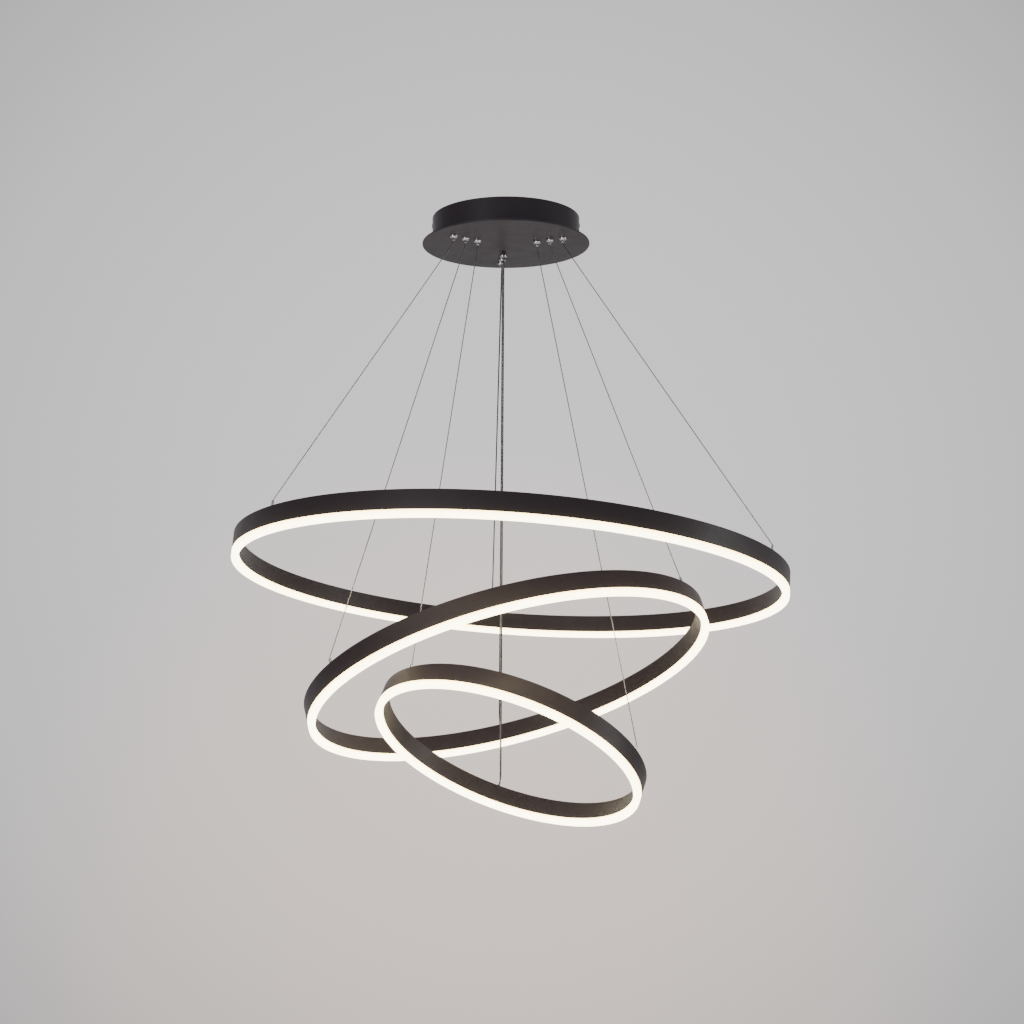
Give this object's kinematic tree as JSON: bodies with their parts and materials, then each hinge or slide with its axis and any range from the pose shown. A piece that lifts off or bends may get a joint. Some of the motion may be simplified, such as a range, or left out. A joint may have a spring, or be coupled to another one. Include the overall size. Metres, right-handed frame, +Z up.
{
  "type": "led ring chandelier",
  "caption": "Ceiling chandelier of tilted circular light rings hung on thin steel cables from a round canopy, lit warm white from below.",
  "frame": {"origin": "middle of the ceiling bracket's two slots, on the face that lies on the ceiling", "axes": "+Z up into the ceiling, +X to the right and along the bracket, front is -Y"},
  "size_m": [0.8004, 0.7988, 0.9032],
  "materials": {
    "canopy_paint": "fine matte black powder coat",
    "ring_paint": "fine matte black powder coat",
    "diffuser": "opal, lit warm white",
    "led_strip": "white solder mask with yellow phosphor chips",
    "bright_steel": "polished nickel plate",
    "cable_steel": "stranded steel cable",
    "zinc": "zinc plated sheet",
    "aluminium": "mill finish bar",
    "cord_black": "matte black sheath",
    "bush_black": "moulded black nylon",
    "driver_case": "white moulded case",
    "foam_tape": "black foam tape",
    "block_plastic": "natural nylon"
  },
  "bodies": {
    "canopy": {"canopy_drum": "canopy_paint", "canopy_plate": "canopy_paint", "ceiling_bracket": "zinc", "side_screws": "canopy_paint", "earth_screw": "zinc", "driver_pads": "foam_tape", "terminal_block": "block_plastic", "gripper_bodies": "bright_steel", "cord_bushes": "bush_black", "driver_large": "driver_case", "driver_medium": "driver_case", "driver_small": "driver_case", "large_cable_back": "cable_steel", "large_cable_left": "cable_steel", "large_cable_right": "cable_steel", "medium_cable_back": "cable_steel", "medium_cable_left": "cable_steel", "medium_cable_right": "cable_steel", "small_cable_back": "cable_steel", "small_cable_left": "cable_steel", "small_cable_right": "cable_steel", "large_cord": "cord_black", "medium_cord": "cord_black", "small_cord": "cord_black"},
    "large_ring": {"large_profile": "ring_paint", "large_diffuser": "diffuser", "large_led_strip": "led_strip", "large_splice": "aluminium", "large_studs": "bright_steel", "large_grommet": "bush_black"},
    "medium_ring": {"medium_profile": "ring_paint", "medium_diffuser": "diffuser", "medium_led_strip": "led_strip", "medium_splice": "aluminium", "medium_studs": "bright_steel", "medium_grommet": "bush_black"},
    "small_ring": {"small_profile": "ring_paint", "small_diffuser": "diffuser", "small_led_strip": "led_strip", "small_splice": "aluminium", "small_studs": "bright_steel", "small_grommet": "bush_black"},
    "large_release_back": {"large_plunger_back": "bright_steel"},
    "large_release_left": {"large_plunger_left": "bright_steel"},
    "large_release_right": {"large_plunger_right": "bright_steel"},
    "medium_release_back": {"medium_plunger_back": "bright_steel"},
    "medium_release_left": {"medium_plunger_left": "bright_steel"},
    "medium_release_right": {"medium_plunger_right": "bright_steel"},
    "small_release_back": {"small_plunger_back": "bright_steel"},
    "small_release_left": {"small_plunger_left": "bright_steel"},
    "small_release_right": {"small_plunger_right": "bright_steel"}
  },
  "joints": [
    {"name": "large_height", "type": "slide", "parent": "canopy", "child": "large_ring", "axis": [0, 0, 1], "range_m": [0, 0.15], "deforming": ["large_cable_back", "large_cable_left", "large_cable_right", "large_cord"]},
    {"name": "medium_height", "type": "slide", "parent": "canopy", "child": "medium_ring", "axis": [0, 0, 1], "range_m": [0, 0.15], "deforming": ["medium_cable_back", "medium_cable_left", "medium_cable_right", "medium_cord"]},
    {"name": "small_height", "type": "slide", "parent": "canopy", "child": "small_ring", "axis": [0, 0, 1], "range_m": [0, 0.15], "deforming": ["small_cable_back", "small_cable_left", "small_cable_right", "small_cord"]},
    {"name": "large_release_back_press", "type": "slide", "parent": "canopy", "child": "large_release_back", "axis": [0, 0, 1], "range_m": [0, 0.002], "stiffness_N_per_m": 500, "springref_m": -0.002},
    {"name": "large_release_left_press", "type": "slide", "parent": "canopy", "child": "large_release_left", "axis": [0, 0, 1], "range_m": [0, 0.002], "stiffness_N_per_m": 500, "springref_m": -0.002},
    {"name": "large_release_right_press", "type": "slide", "parent": "canopy", "child": "large_release_right", "axis": [0, 0, 1], "range_m": [0, 0.002], "stiffness_N_per_m": 500, "springref_m": -0.002},
    {"name": "medium_release_back_press", "type": "slide", "parent": "canopy", "child": "medium_release_back", "axis": [0, 0, 1], "range_m": [0, 0.002], "stiffness_N_per_m": 500, "springref_m": -0.002},
    {"name": "medium_release_left_press", "type": "slide", "parent": "canopy", "child": "medium_release_left", "axis": [0, 0, 1], "range_m": [0, 0.002], "stiffness_N_per_m": 500, "springref_m": -0.002},
    {"name": "medium_release_right_press", "type": "slide", "parent": "canopy", "child": "medium_release_right", "axis": [0, 0, 1], "range_m": [0, 0.002], "stiffness_N_per_m": 500, "springref_m": -0.002},
    {"name": "small_release_back_press", "type": "slide", "parent": "canopy", "child": "small_release_back", "axis": [0, 0, 1], "range_m": [0, 0.002], "stiffness_N_per_m": 500, "springref_m": -0.002},
    {"name": "small_release_left_press", "type": "slide", "parent": "canopy", "child": "small_release_left", "axis": [0, 0, 1], "range_m": [0, 0.002], "stiffness_N_per_m": 500, "springref_m": -0.002},
    {"name": "small_release_right_press", "type": "slide", "parent": "canopy", "child": "small_release_right", "axis": [0, 0, 1], "range_m": [0, 0.002], "stiffness_N_per_m": 500, "springref_m": -0.002}
  ]
}
